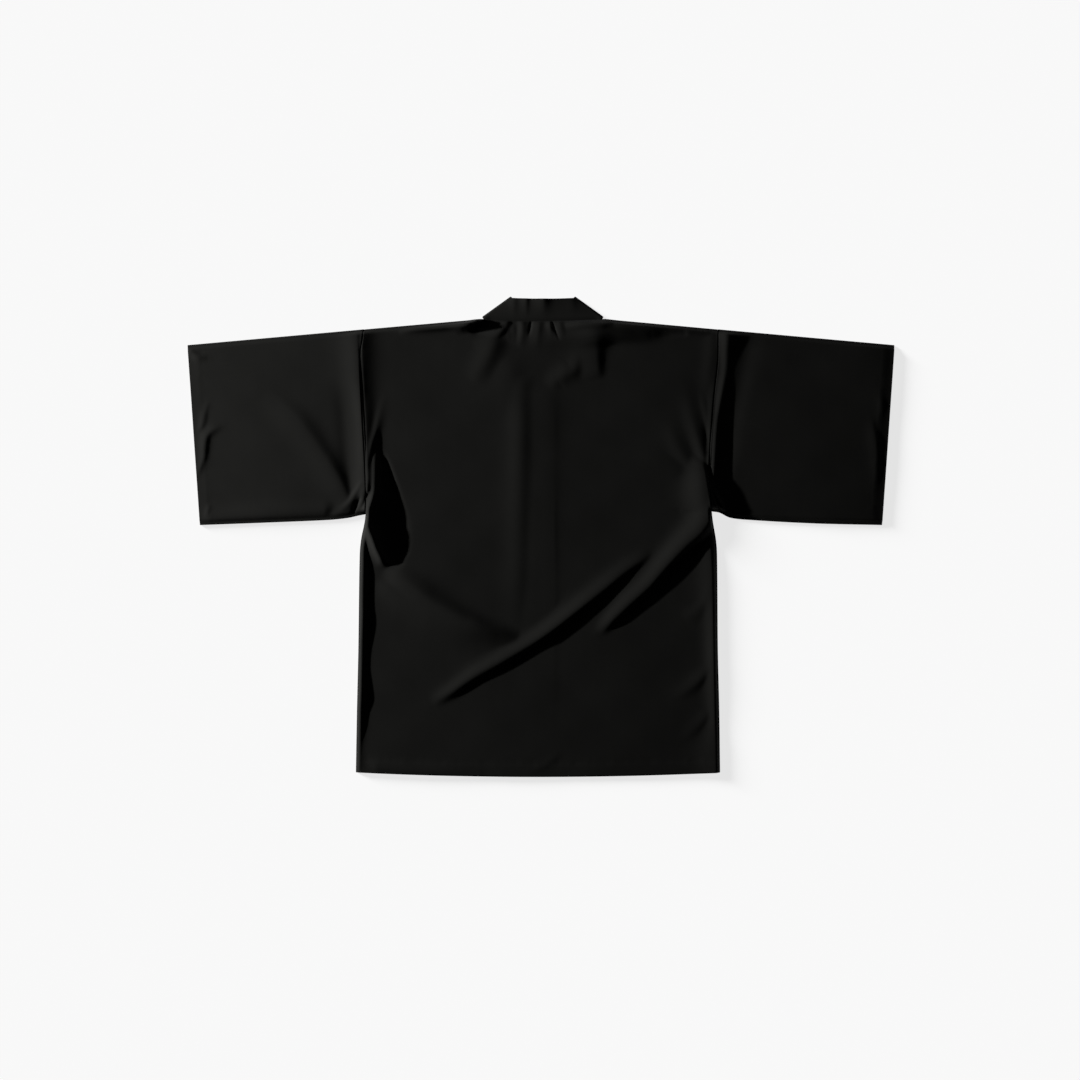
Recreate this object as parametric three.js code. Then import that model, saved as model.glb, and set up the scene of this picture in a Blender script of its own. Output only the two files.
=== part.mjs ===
// Short open-front kimono jacket, laid flat with its back side up.
// Millimetres. +X is the wearer's right, +Y runs up to the collar and +Z is up from the surface.
// Every piece of cloth is a closed wall between two grids of points, one on each face.

import * as THREE from 'three';

const { clamp, lerp, smoothstep } = THREE.MathUtils;

// Cloth and the room between its layers
const CLOTH = 1.5;
const BAND = 3;
const SEAM_GAP = 0.3;
const LAYER_ROOM = 3.8;

// Body: the shoulder line falls from the neck to the armhole, and the hem sags at its middle
const SHOULDER_END_X = 326;
const SHOULDER_END_Y = 381;
const NECK_CENTRE_X = 3.5;
const NECK_HALF = 114;
const NECK_Y = 400;
const NECKLINE_DIP = 3.5;
const HEM_HALF = 335;
const HEM_SIDE_Y = -434;
const HEM_SAG = 8;
const FRONT_HEM_Y = -429;

// Armhole and side seams of the body from the shoulder down, as x on each side at a height y
const SIDE_ROWS = [
  { level: 'shoulder', y: 381, left: -326, right: 326 },
  { level: 'top of armhole', y: 325, left: -332, right: 325 },
  { level: 'upper armhole', y: 240, left: -329, right: 316 },
  { level: 'lower armhole', y: 105, left: -322, right: 308.5 },
  { level: 'underarm', y: 42, left: -322, right: 314 },
  { level: 'below the underarm', y: -6, left: -331, right: 322 },
  { level: 'upper side', y: -35, left: -333.5, right: 324 },
  { level: 'middle side', y: -209, left: -336, right: 325.5 },
  { level: 'lower side', y: -319, left: -338.5, right: 328 },
  { level: 'hem', y: -434, left: -340.5, right: 329.5 },
];

// Sleeves: the fold along the top is straight, and the cuff leans in at its lower corner
const CUFF_TOP_X = 649.5;
const CUFF_TOP_Y = 352;
const CUFF_LOW_X = 627;
const SLEEVE_EDGE_ROOM = 1.8;

// Lower edge of each sleeve, from the armhole at 0 to the cuff at 1, as y
const SLEEVE_LOW_ROWS = [
  { along: 0, left: 41, right: 46 },
  { along: 0.05, left: 38, right: 43.5 },
  { along: 0.11, left: 34, right: 34.5 },
  { along: 0.22, left: 30.5, right: 30.5 },
  { along: 0.6, left: 25.5, right: 24 },
  { along: 1, left: 21, right: 21 },
];

// Collar: one strip folded double. It runs up one front edge, rolls over a slanted fold at
// the shoulder, crosses the back of the neck and runs down the other front edge.
const BAND_WIDTH = 45;
const BAND_HEM_HALF = 56;
const ROLL_SEAM_HALF = 109.5;
const ROLL_SEAM_Y = 400.3;
const ROLL_FREE_HALF = 56.5;
const ROLL_FREE_Y = 438.3;
const FREE_EDGE_DIP = 1.6;
const FREE_EDGE_LIFT = 4;
const ROLL_EASE_LENGTH = 40;
const ROLL_RADIUS = (LAYER_ROOM - BAND + CLOTH + BAND) / 2;

// Distance in from a seam over which the upper layer rises to its full height
const SEAM_RISE = 10;
const FOLD_RISE = 13;
const HEM_RISE = 22;
const HEM_SHARE = 0.35;
const CUFF_RISE = 26;
const CUFF_SHARE = 0.55;
const NECK_BLEND = 24;
const UNDERARM_BLEND_FROM = 30;
const UNDERARM_BLEND_TO = 80;

// Folds of the upper layer. A crest runs from one end through its middle to the other end.
// height is given at those three places, and left and right are how wide the fold spreads
// on each side of somebody who walks along the crest. A trough has a height below zero.
const FOLDS = [
  { name: 'main diagonal', from: [197, -25], mid: [4, -168], to: [-190, -297],
    height: [5, 13, 4], left: 15, right: 23 },
  { name: 'from the right underarm', from: [314, 34], mid: [214, -66], to: [104, -185],
    height: [17, 12, 2], left: 26, right: 24 },
  { name: 'left armhole, upper', from: [-331, 368], mid: [-332, 325], to: [-327, 235],
    height: [8, 11, 4], left: 14, right: 26 },
  { name: 'left armhole, lower', from: [-320, 205], mid: [-311, 112], to: [-317, 48],
    height: [4, 19, 10], left: 10, right: 17 },
  { name: 'right armhole', from: [344, 366], mid: [330, 250], to: [319, 108],
    height: [9, 13, 16], left: 10, right: 20 },
  { name: 'upper pull to the right underarm', from: [271, 232], mid: [285, 176], to: [303, 122],
    height: [2, 6, 5], left: 8, right: 9 },
  { name: 'middle pull to the right underarm', from: [238, 176], mid: [258, 138], to: [298, 108],
    height: [2, 5, 4], left: 9, right: 11 },
  { name: 'level trough to the right underarm', from: [108, 150], mid: [190, 138], to: [268, 116],
    height: [-1, -3, -2], left: 16, right: 16 },
  { name: 'from the left underarm', from: [-288, -48], mid: [-196, -118], to: [-72, -196],
    height: [5, 5, 2], left: 16, right: 20 },
  { name: 'left sleeve diagonal', from: [-489, 270], mid: [-408, 168], to: [-344, 78],
    height: [1, 5, 6], left: 15, right: 24 },
  { name: 'left cuff', from: [-588, 196], mid: [-611, 160], to: [-628, 112],
    height: [2, 6, 3], left: 12, right: 15 },
  { name: 'right sleeve, along the top', from: [362, 352], mid: [450, 320], to: [560, 312],
    height: [4, 3, 1], left: 22, right: 24 },
  { name: 'right sleeve, to the underarm', from: [345, 70], mid: [402, 104], to: [476, 120],
    height: [6, 3, 1], left: 16, right: 20 },
  { name: 'left side lip', from: [-328, -22], mid: [-330, -230], to: [-334, -420],
    height: [7, 7, 5], left: 13, right: 7 },
  { name: 'right side lip', from: [315, 22], mid: [315, -200], to: [320, -420],
    height: [5, 6, 4], left: 6, right: 12 },
  { name: 'left of the spine', from: [-24, 262], mid: [-27, 60], to: [-30, -180],
    height: [1, 3, 1], left: 12, right: 16 },
  { name: 'right of the spine', from: [26, 252], mid: [24, 30], to: [20, -372],
    height: [1, 3, 1], left: 12, right: 16 },
  { name: 'left of the neck', from: [-88, 380], mid: [-104, 338], to: [-124, 286],
    height: [4, 4, 1], left: 14, right: 18 },
  { name: 'right of the neck', from: [82, 372], mid: [95, 326], to: [106, 276],
    height: [3, 5, 1], left: 14, right: 18 },
  { name: 'right shoulder', from: [138, 380], mid: [156, 344], to: [186, 300],
    height: [4, 4, 1], left: 14, right: 18 },
  { name: 'hem at the left', from: [-255, -425], mid: [-236, -372], to: [-228, -305],
    height: [3, 3, 1], left: 18, right: 18 },
  { name: 'hem at the right', from: [226, -425], mid: [238, -372], to: [240, -300],
    height: [3, 3, 1], left: 18, right: 18 },
];

// Gathers that fan out below the collar seam: x at the seam and at the foot
const GATHER_TOP_Y = 397;
const GATHER_FOOT_Y = 355;
const GATHER_HEIGHTS = [4, 3.2, 1];
const GATHER_SPREAD = 7;
const GATHERS = [
  { top: -58, foot: -66 },
  { top: -37, foot: -41 },
  { top: -14, foot: -17 },
  { top: 12, foot: 11 },
  { top: 30, foot: 33 },
  { top: 52, foot: 60 },
];

// Steps of the grids
const BACK_COLUMNS = [
  { zone: 'left seam', to: -280, steps: 6 },
  { zone: 'left shoulder', to: NECK_CENTRE_X - NECK_HALF, steps: 8 },
  { zone: 'left of the gathers', to: -68, steps: 3 },
  { zone: 'gathers', to: 68, steps: 12 },
  { zone: 'right of the gathers', to: NECK_CENTRE_X + NECK_HALF, steps: 3 },
  { zone: 'right shoulder', to: 280, steps: 8 },
  { zone: 'right seam', to: SHOULDER_END_X, steps: 6 },
];
const BACK_ROWS = [
  { zone: 'neck', to: 0.05, steps: 4 },
  { zone: 'below the neck', to: 1, steps: 40 },
];
const CREST_STEPS = 12;
const SLEEVE_STATIONS = 15;
const SLEEVE_UPPER_STEPS = 15;
const SLEEVE_UNDER_STEPS = 13;
const TURN_STEPS = 4;
const FRONT_SIDE_STEPS = 36;
const BAND_FRONT_STEPS = 20;
const BAND_NECK_STEPS = 14;
const BAND_ROLL_STEPS = 6;

// Value of one column of a table at a place between its rows, on a smooth curve
function tableCurve(rows, by, column, place) {
  const sorted = rows.toSorted((a, b) => a[by] - b[by]);
  const last = sorted.length - 1;
  const slope = (index) => {
    const before = sorted[Math.max(index - 1, 0)];
    const after = sorted[Math.min(index + 1, last)];
    return (after[column] - before[column]) / (after[by] - before[by]);
  };
  let index = 0;
  while (index < last - 1 && sorted[index + 1][by] < place) {
    index += 1;
  }
  const span = sorted[index + 1][by] - sorted[index][by];
  const t = clamp((place - sorted[index][by]) / span, 0, 1);
  const leave = (t - 1) ** 2 * t * span * slope(index);
  const arrive = (t - 1) * t ** 2 * span * slope(index + 1);
  return lerp(sorted[index][column], sorted[index + 1][column], t * t * (3 - 2 * t)) + leave + arrive;
}

// Positions from a start through zones, each cut into its own number of steps
function spread(start, zones) {
  const positions = [start];
  for (const zone of zones) {
    const from = positions.at(-1);
    for (let step = 1; step <= zone.steps; step += 1) {
      positions.push(lerp(from, zone.to, step / zone.steps));
    }
  }
  return positions;
}

// Crest of a fold, as points on the parabola through its two ends and its middle
function crestPoints(fold) {
  const [from, mid, to] = [fold.from, fold.mid, fold.to].map((point) => new THREE.Vector2(...point));
  const control = mid.clone().multiplyScalar(2).sub(from.clone().add(to).multiplyScalar(0.5));
  return new THREE.QuadraticBezierCurve(from, control, to).getPoints(CREST_STEPS);
}

function gatherFold(gather) {
  return {
    name: `gather at ${gather.top}`,
    from: [gather.top, GATHER_TOP_Y],
    mid: [(gather.top + gather.foot) / 2, (GATHER_TOP_Y + GATHER_FOOT_Y) / 2],
    to: [gather.foot, GATHER_FOOT_Y],
    height: GATHER_HEIGHTS,
    left: GATHER_SPREAD,
    right: GATHER_SPREAD,
  };
}

const allFolds = [...FOLDS, ...GATHERS.map(gatherFold)].map((fold) => (
  { ...fold, crest: crestPoints(fold) }
));

function heightAlong(height, t) {
  const [start, middle, end] = height;
  return t < 0.5 ? lerp(start, middle, smoothstep(t, 0, 0.5)) : lerp(middle, end, smoothstep(t, 0.5, 1));
}

// Height that one fold adds at a point, falling away on each side of the nearest place on its crest
function foldHeight(fold, x, y) {
  const point = new THREE.Vector2(x, y);
  let nearest = { distance: Infinity, side: 0, t: 0 };
  for (let index = 0; index < CREST_STEPS; index += 1) {
    const start = fold.crest[index];
    const run = fold.crest[index + 1].clone().sub(start);
    const away = point.clone().sub(start);
    const share = clamp(away.dot(run) / run.lengthSq(), 0, 1);
    const offset = away.sub(run.clone().multiplyScalar(share));
    const distance = offset.length();
    if (distance < nearest.distance) {
      const side = run.cross(offset) / (run.length() * Math.max(distance, Number.EPSILON));
      nearest = { distance, side, t: (index + share) / CREST_STEPS };
    }
  }
  const width = lerp(fold.right, fold.left, smoothstep(nearest.side, -1, 1));
  return heightAlong(fold.height, nearest.t) * Math.exp(-((nearest.distance / width) ** 2));
}

function foldsHeight(x, y) {
  return allFolds.reduce((sum, fold) => sum + foldHeight(fold, x, y), 0);
}

function bodySide(side, y) {
  return tableCurve(SIDE_ROWS, 'y', side < 0 ? 'left' : 'right', y);
}

// Top edge of the back and the fronts: the two shoulder lines, and the neckline between them
function topEdge(x) {
  const fromNeck = Math.abs(x - NECK_CENTRE_X);
  if (fromNeck < NECK_HALF) {
    return NECK_Y - NECKLINE_DIP * (1 - (fromNeck / NECK_HALF) ** 2);
  }
  const shoulderRun = SHOULDER_END_X - Math.sign(x) * NECK_CENTRE_X - NECK_HALF;
  return lerp(NECK_Y, SHOULDER_END_Y, (fromNeck - NECK_HALF) / shoulderRun);
}

function hemEdge(x) {
  return HEM_SIDE_Y - HEM_SAG * (1 - Math.min(Math.abs(x) / HEM_HALF, 1) ** 2);
}

// Underside of the back. It lies on the fronts at the side and shoulder seams, and stands
// clear of them elsewhere by the layer room and the folds.
function backUnderside(x, y) {
  const toSide = Math.min(x - bodySide(-1, y), bodySide(1, y) - x);
  const alongArmhole = smoothstep(y, UNDERARM_BLEND_FROM, UNDERARM_BLEND_TO);
  const fromSide = lerp(smoothstep(toSide, 0, SEAM_RISE), 1, alongArmhole);
  const besideNeck = smoothstep(Math.abs(x - NECK_CENTRE_X), NECK_HALF, NECK_HALF + NECK_BLEND);
  const fromShoulder = lerp(1, smoothstep(topEdge(x) - y, 0, FOLD_RISE), besideNeck);
  const fromHem = lerp(HEM_SHARE, 1, smoothstep(y - hemEdge(x), 0, HEM_RISE));
  const seat = CLOTH + SEAM_GAP;
  const rise = Math.max(LAYER_ROOM - SEAM_GAP + foldsHeight(x, y), 0);
  return seat + rise * fromSide * fromShoulder * fromHem;
}

// Direction out of the cloth at each point of a grid
function gridNormals(points, isTube) {
  const columns = points[0].length;
  return points.map((row, rowIndex) => row.map((_, column) => {
    const above = points[Math.max(rowIndex - 1, 0)][column];
    const below = points[Math.min(rowIndex + 1, points.length - 1)][column];
    const before = row[isTube ? (column + columns - 1) % columns : Math.max(column - 1, 0)];
    const after = row[isTube ? (column + 1) % columns : Math.min(column + 1, columns - 1)];
    return after.clone().sub(before).cross(above.clone().sub(below)).normalize();
  }));
}

// Grid moved along its normals by a distance
function offsetGrid(points, normals, distance) {
  return points.map((row, rowIndex) => row.map((point, column) => (
    point.clone().addScaledVector(normals[rowIndex][column], distance)
  )));
}

function signedVolume(points, triangles) {
  let volume = 0;
  for (let corner = 0; corner < triangles.length; corner += 3) {
    const [a, b, c] = triangles.slice(corner, corner + 3).map((index) => points[index]);
    volume += a.dot(b.clone().cross(c)) / 6;
  }
  return volume;
}

// Closed wall between two like grids. A tube's grid joins its last column to its first.
function clothWall(outside, inside, isTube) {
  const rows = outside.length;
  const columns = outside[0].length;
  const points = [...outside.flat(), ...inside.flat()];
  const insideStart = rows * columns;
  const triangles = [];
  const addQuad = (a, b, c, d) => triangles.push(a, b, c, a, c, d);
  const addRim = (a, b) => addQuad(b, a, a + insideStart, b + insideStart);
  const at = (row, column) => row * columns + (column % columns);
  const spans = isTube ? columns : columns - 1;
  for (let row = 0; row < rows - 1; row += 1) {
    for (let column = 0; column < spans; column += 1) {
      const corners = [at(row, column), at(row, column + 1), at(row + 1, column + 1), at(row + 1, column)];
      addQuad(...corners);
      const [a, b, c, d] = corners.map((corner) => corner + insideStart);
      addQuad(a, d, c, b);
    }
  }
  for (let column = 0; column < spans; column += 1) {
    addRim(at(0, column), at(0, column + 1));
    addRim(at(rows - 1, column + 1), at(rows - 1, column));
  }
  for (let row = 0; row < rows - 1 && !isTube; row += 1) {
    addRim(at(row + 1, 0), at(row, 0));
    addRim(at(row, columns - 1), at(row + 1, columns - 1));
  }
  if (signedVolume(points, triangles) < 0) {
    triangles.reverse();
  }
  const geometry = new THREE.BufferGeometry();
  geometry.setFromPoints(points);
  geometry.setIndex(triangles);
  geometry.computeVertexNormals();
  return geometry;
}

const clothFinish = { color: 0x161515, roughness: 0.95, metalness: 0 };

function clothPiece(name, geometry) {
  const mesh = new THREE.Mesh(geometry, new THREE.MeshStandardMaterial(clothFinish));
  mesh.name = name;
  return mesh;
}

// Back: one panel from the shoulders and neckline to the hem
function backPanel() {
  const columns = spread(-SHOULDER_END_X, BACK_COLUMNS);
  const rows = spread(0, BACK_ROWS);
  const up = new THREE.Vector3(0, 0, 1);
  const inside = rows.map((down) => {
    const sideY = lerp(SHOULDER_END_Y, HEM_SIDE_Y, down);
    return columns.map((column) => {
      const across = (column + SHOULDER_END_X) / (2 * SHOULDER_END_X);
      const x = lerp(bodySide(-1, sideY), bodySide(1, sideY), across);
      const y = lerp(topEdge(column), hemEdge(x), down);
      return new THREE.Vector3(x, y, backUnderside(x, y));
    });
  });
  const normals = gridNormals(inside, false);
  normals[0].fill(up);
  normals.at(-1).fill(up);
  for (const row of normals) {
    row[0] = up;
    row[row.length - 1] = up;
  }
  return clothPiece('back', clothWall(offsetGrid(inside, normals, CLOTH), inside, false));
}

// Collar seam on a front at a height y, straight from the neck to the hem
function frontEdge(side, y) {
  const down = (ROLL_SEAM_Y - y) / (ROLL_SEAM_Y - FRONT_HEM_Y);
  return lerp(NECK_CENTRE_X + side * ROLL_SEAM_HALF, side * BAND_HEM_HALF, down);
}

// Fronts: flat panels under the back, each from its side seam to the collar
function frontPanel(side, name) {
  const outline = [];
  for (let step = 0; step <= FRONT_SIDE_STEPS; step += 1) {
    const y = lerp(SHOULDER_END_Y, FRONT_HEM_Y, step / FRONT_SIDE_STEPS);
    outline.push(new THREE.Vector2(bodySide(side, y), y));
  }
  outline.push(new THREE.Vector2(frontEdge(side, FRONT_HEM_Y) + side * SEAM_GAP, FRONT_HEM_Y));
  outline.push(new THREE.Vector2(frontEdge(side, NECK_Y) + side * SEAM_GAP, NECK_Y));
  outline.push(new THREE.Vector2(NECK_CENTRE_X + side * NECK_HALF, NECK_Y));
  const settings = { depth: CLOTH, bevelEnabled: false };
  return clothPiece(name, new THREE.ExtrudeGeometry(new THREE.Shape(outline), settings));
}

function sleeveLow(side, along) {
  return tableCurve(SLEEVE_LOW_ROWS, 'along', side < 0 ? 'left' : 'right', along);
}

function sleeveTop(along) {
  return lerp(SHOULDER_END_Y, CUFF_TOP_Y, along);
}

function sleeveSeam(side, y) {
  return bodySide(side, y) + side * SEAM_GAP;
}

// Points round the hollow of a flattened sleeve: the layer on the surface, the fold at the
// top, the upper layer and the seam at the bottom. share runs from the seam up to the fold.
function sleeveRing() {
  const ring = [];
  for (let step = 0; step <= SLEEVE_UNDER_STEPS; step += 1) {
    ring.push({ layer: 'under', share: step / SLEEVE_UNDER_STEPS, turn: -Math.PI / 2 });
  }
  for (let step = 1; step < TURN_STEPS; step += 1) {
    ring.push({ layer: 'turn', share: 1, turn: Math.PI * (step / TURN_STEPS - 0.5) });
  }
  for (let step = 0; step <= SLEEVE_UPPER_STEPS; step += 1) {
    ring.push({ layer: 'upper', share: 1 - step / SLEEVE_UPPER_STEPS, turn: Math.PI / 2 });
  }
  for (let step = 1; step < TURN_STEPS; step += 1) {
    ring.push({ layer: 'turn', share: 0, turn: Math.PI * (0.5 + step / TURN_STEPS) });
  }
  return ring;
}

function sleevePoint(side, along, ringPoint) {
  const radius = SLEEVE_EDGE_ROOM / 2;
  const inset = CLOTH + radius;
  const low = sleeveLow(side, along) + inset;
  const high = sleeveTop(along) - inset;
  const y = lerp(low, high, ringPoint.share) + radius * Math.cos(ringPoint.turn);
  const atArmhole = lerp(sleeveLow(side, 0), sleeveTop(0), ringPoint.share);
  const cuffX = side * lerp(CUFF_LOW_X, CUFF_TOP_X, ringPoint.share);
  const x = lerp(sleeveSeam(side, atArmhole), cuffX, along);
  const z = CLOTH + radius + radius * Math.sin(ringPoint.turn);
  if (ringPoint.layer !== 'upper') {
    return new THREE.Vector3(x, y, z);
  }
  const fromEdges = smoothstep(y - low, 0, FOLD_RISE) * smoothstep(high - y, 0, FOLD_RISE);
  const fromCuff = lerp(CUFF_SHARE, 1, smoothstep(Math.abs(cuffX - x), 0, CUFF_RISE));
  const rise = Math.max(LAYER_ROOM - SLEEVE_EDGE_ROOM + foldsHeight(x, y), 0);
  return new THREE.Vector3(x, y, z + rise * fromEdges * fromCuff);
}

// Sleeves: flattened tubes, open at the armhole and at the cuff
function sleeve(side, name) {
  const ring = sleeveRing();
  const inside = [];
  for (let station = 0; station <= SLEEVE_STATIONS; station += 1) {
    inside.push(ring.map((ringPoint) => sleevePoint(side, station / SLEEVE_STATIONS, ringPoint)));
  }
  const normals = gridNormals(inside, true).map((row) => row.map((normal, column) => {
    const outward = normal.clone().multiplyScalar(-side);
    return ring[column].layer === 'under' ? new THREE.Vector3(0, 0, -1) : outward;
  }));
  for (const end of [normals[0], normals.at(-1)]) {
    end.forEach((normal) => normal.setX(0).normalize());
  }
  const outside = offsetGrid(inside, normals, CLOTH);
  for (const point of [...outside[0], ...inside[0]]) {
    point.x = sleeveSeam(side, point.y);
  }
  return clothPiece(name, clothWall(outside, inside, true));
}

// Stations along the collar strip, each with its seam edge and its free edge on the middle
// of the strip's thickness. side is -1 on the wearer's left, which comes first.
function bandFrontStation(side, down) {
  const y = lerp(ROLL_SEAM_Y, FRONT_HEM_Y, down);
  const freeY = lerp(ROLL_FREE_Y, FRONT_HEM_Y, down);
  const ease = Math.exp(-(ROLL_FREE_Y - freeY) / ROLL_EASE_LENGTH);
  const settled = frontEdge(side, freeY) - side * BAND_WIDTH;
  const freeX = lerp(settled, NECK_CENTRE_X + side * ROLL_FREE_HALF, ease);
  return {
    seam: new THREE.Vector3(frontEdge(side, y), y, BAND / 2),
    free: new THREE.Vector3(freeX, freeY, BAND / 2),
  };
}

function bandRollStation(side, share) {
  const seamEnd = new THREE.Vector3(NECK_CENTRE_X + side * ROLL_SEAM_HALF, ROLL_SEAM_Y, 0);
  const freeEnd = new THREE.Vector3(NECK_CENTRE_X + side * ROLL_FREE_HALF, ROLL_FREE_Y, 0);
  const crease = freeEnd.clone().sub(seamEnd).normalize();
  const outward = new THREE.Vector3(side * Math.abs(crease.y), Math.abs(crease.x), 0);
  const turn = Math.PI * (share - 0.5);
  const shift = outward.multiplyScalar(ROLL_RADIUS * Math.cos(turn));
  shift.z = BAND / 2 + ROLL_RADIUS * (1 + Math.sin(turn));
  return { seam: seamEnd.add(shift), free: freeEnd.add(shift) };
}

function bandNeckStation(share) {
  const across = 2 * share - 1;
  const bow = 1 - across ** 2;
  const seamX = NECK_CENTRE_X + across * ROLL_SEAM_HALF;
  const freeX = NECK_CENTRE_X + across * ROLL_FREE_HALF;
  const z = BAND / 2 + 2 * ROLL_RADIUS;
  const seamY = Math.abs(across) === 1 ? ROLL_SEAM_Y : topEdge(seamX) + SEAM_GAP;
  return {
    seam: new THREE.Vector3(seamX, seamY, z),
    free: new THREE.Vector3(freeX, ROLL_FREE_Y - FREE_EDGE_DIP * bow, z + FREE_EDGE_LIFT * bow),
  };
}

function collar() {
  const stations = [];
  for (let step = 0; step < BAND_FRONT_STEPS; step += 1) {
    stations.push(bandFrontStation(-1, 1 - step / BAND_FRONT_STEPS));
  }
  for (let step = 0; step < BAND_ROLL_STEPS; step += 1) {
    stations.push(bandRollStation(-1, step / BAND_ROLL_STEPS));
  }
  for (let step = 0; step <= BAND_NECK_STEPS; step += 1) {
    stations.push(bandNeckStation(step / BAND_NECK_STEPS));
  }
  for (let step = BAND_ROLL_STEPS - 1; step >= 0; step -= 1) {
    stations.push(bandRollStation(1, step / BAND_ROLL_STEPS));
  }
  for (let step = BAND_FRONT_STEPS - 1; step >= 0; step -= 1) {
    stations.push(bandFrontStation(1, 1 - step / BAND_FRONT_STEPS));
  }
  const middle = stations.map(({ seam, free }) => [0, 0.5, 1].map((share) => seam.clone().lerp(free, share)));
  const normals = gridNormals(middle, false);
  const outside = offsetGrid(middle, normals, BAND / 2);
  return clothPiece('collar', clothWall(outside, offsetGrid(middle, normals, -BAND / 2), false));
}

const kimono = new THREE.Group();
kimono.add(frontPanel(-1, 'front_left'));
kimono.add(frontPanel(1, 'front_right'));
kimono.add(sleeve(-1, 'sleeve_left'));
kimono.add(sleeve(1, 'sleeve_right'));
kimono.add(collar());
kimono.add(backPanel());

export default kimono;
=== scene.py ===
import math
from collections import namedtuple

import bpy
import numpy as np
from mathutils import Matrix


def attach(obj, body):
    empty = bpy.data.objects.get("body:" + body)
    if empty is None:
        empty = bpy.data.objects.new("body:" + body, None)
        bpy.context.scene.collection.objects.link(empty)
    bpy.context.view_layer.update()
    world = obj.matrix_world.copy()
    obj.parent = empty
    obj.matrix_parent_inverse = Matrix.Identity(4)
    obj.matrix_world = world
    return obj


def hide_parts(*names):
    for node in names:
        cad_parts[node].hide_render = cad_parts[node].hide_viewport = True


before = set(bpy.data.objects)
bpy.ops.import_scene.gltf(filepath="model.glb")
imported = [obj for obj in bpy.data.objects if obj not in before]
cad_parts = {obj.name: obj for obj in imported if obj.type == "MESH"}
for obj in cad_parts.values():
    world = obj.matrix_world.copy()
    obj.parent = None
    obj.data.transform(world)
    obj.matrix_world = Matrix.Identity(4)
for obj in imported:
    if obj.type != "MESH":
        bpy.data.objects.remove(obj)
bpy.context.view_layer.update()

# Black kimono jacket laid flat on a pale floor, its back side up. Sizes are millimetres in
# the frame's own axes, and meshes are made in metres.
MM = 0.001
BODY = "root"

# Thicknesses of the cloth and the collar, the gap between sewn pieces, the level of the back's
# underside at its seams, the room between the two layers, and how low an edge may sink
CLOTH = 1.5
BAND = 3.0
SEAM_GAP = 0.3
SEAT = CLOTH + SEAM_GAP
LAYER_ROOM = 3.8
LOWEST_EDGE = 0.15

# Body outline
SHOULDER_END_X = 326.0
SHOULDER_END_Y = 381.0
NECK_CENTRE_X = 3.5
NECK_HALF = 114.0
NECK_Y = 400.0
NECKLINE_DIP = 3.5
HEM_HALF = 335.0
HEM_SIDE_Y = -434.0
HEM_SAG = 8.0
FRONT_HEM_Y = -429.0
HEM_TURN = 25.0
FRONT_SIDE_INSET = 1.9
FRONT_COLLAR_INSET = 0.2

# Sides of the body: x of the left and right one at each y
SideRow = namedtuple("SideRow", "level y left right")
SIDE_ROWS = [
    SideRow("shoulder", 381, -326, 326),
    SideRow("top of armhole", 325, -332, 325),
    SideRow("upper armhole", 240, -329, 316),
    SideRow("lower armhole", 105, -322, 308.5),
    SideRow("underarm", 42, -322, 314),
    SideRow("below the underarm", -6, -331, 322),
    SideRow("upper side", -35, -333.5, 324),
    SideRow("middle side", -209, -336, 325.5),
    SideRow("lower side", -319, -338.5, 328),
    SideRow("hem", -434, -340.5, 329.5),
]

# Sleeves
CUFF_TOP_X = 649.5
CUFF_TOP_Y = 352.0
CUFF_LOW_X = 627.0
CUFF_TURN = 22.0
SLEEVE_EDGE_ROOM = 1.8
ARMHOLE_TUCK = 1.2
ARMHOLE_ROOM = 0.1
SLEEVE_TURN_POINTS = 9
SLEEVE_UNDER_STEP = 9.0

# Lower edges of the sleeves: y at shares of the way from the armhole to the cuff
LowRow = namedtuple("LowRow", "along left right")
SLEEVE_LOW_ROWS = [
    LowRow(0, 41, 46),
    LowRow(0.05, 38, 43.5),
    LowRow(0.11, 34, 34.5),
    LowRow(0.22, 30.5, 30.5),
    LowRow(0.6, 25.5, 24),
    LowRow(1, 21, 21),
]

# Collar
BAND_WIDTH = 45.0
BAND_HEM_HALF = 56.0
ROLL_SEAM_HALF = 109.5
ROLL_SEAM_Y = 400.3
ROLL_FREE_HALF = 56.5
ROLL_FREE_Y = 438.3
FREE_EDGE_DIP = 1.6
FREE_EDGE_LIFT = 4.0
ROLL_EASE_LENGTH = 40.0
ROLL_RADIUS = (LAYER_ROOM + CLOTH) / 2
NECK_BAND_Z = BAND / 2 + 2 * ROLL_RADIUS
NECK_SEAM_ROOM = 0.1

# The tuck of the collar's seam edge, down and under across the neck: how wide the bend is, how
# far the edge moves, how far it drops, and how far from the corners the tuck is whole
TUCK_BEND = 2.4
TUCK_LENGTH = 3.0
TUCK_DROP = 3.4
TUCK_CORNER = 12.0

# The strip's grid: steps at its rounded edges, and stations along each of its stretches
BAND_ROUNDING = [(0.3, 0.3), (0.5, 0.5), (0.9, 0.9)]
BAND_EDGE_THICKNESS = 0.05
FRONT_STATIONS = 140
ROLL_STATIONS = 13
NECK_STATIONS = 121

# How the upper layer rises from its edges. A rise is the length over which it reaches its full
# height, a share is what it has of that height at the edge itself, and a blend is the stretch
# where one kind of edge turns into the next
SEAM_RISE = 6.0
FOLD_RISE = 8.5
HEM_RISE = 16.0
HEM_SHARE = 0.97
CUFF_RISE = 26.0
CUFF_SHARE = 0.7
NECK_BLEND = 24.0
NECK_RISE = 3.5
UNDERARM_BLEND = (10.0, 60.0)
SEAM_PUCKER_REACH = 5.0

# Edges that are turned in and sewn: a step, and a dent along the sewn line
TURN_STEP = 0.3
TURN_STEP_HALF = 1.5
DENT_DEPTH = 0.22
DENT_INSET = 2.5
DENT_WIDTH = 1.3
TURN_PUCKER_REACH = 7.0

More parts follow.
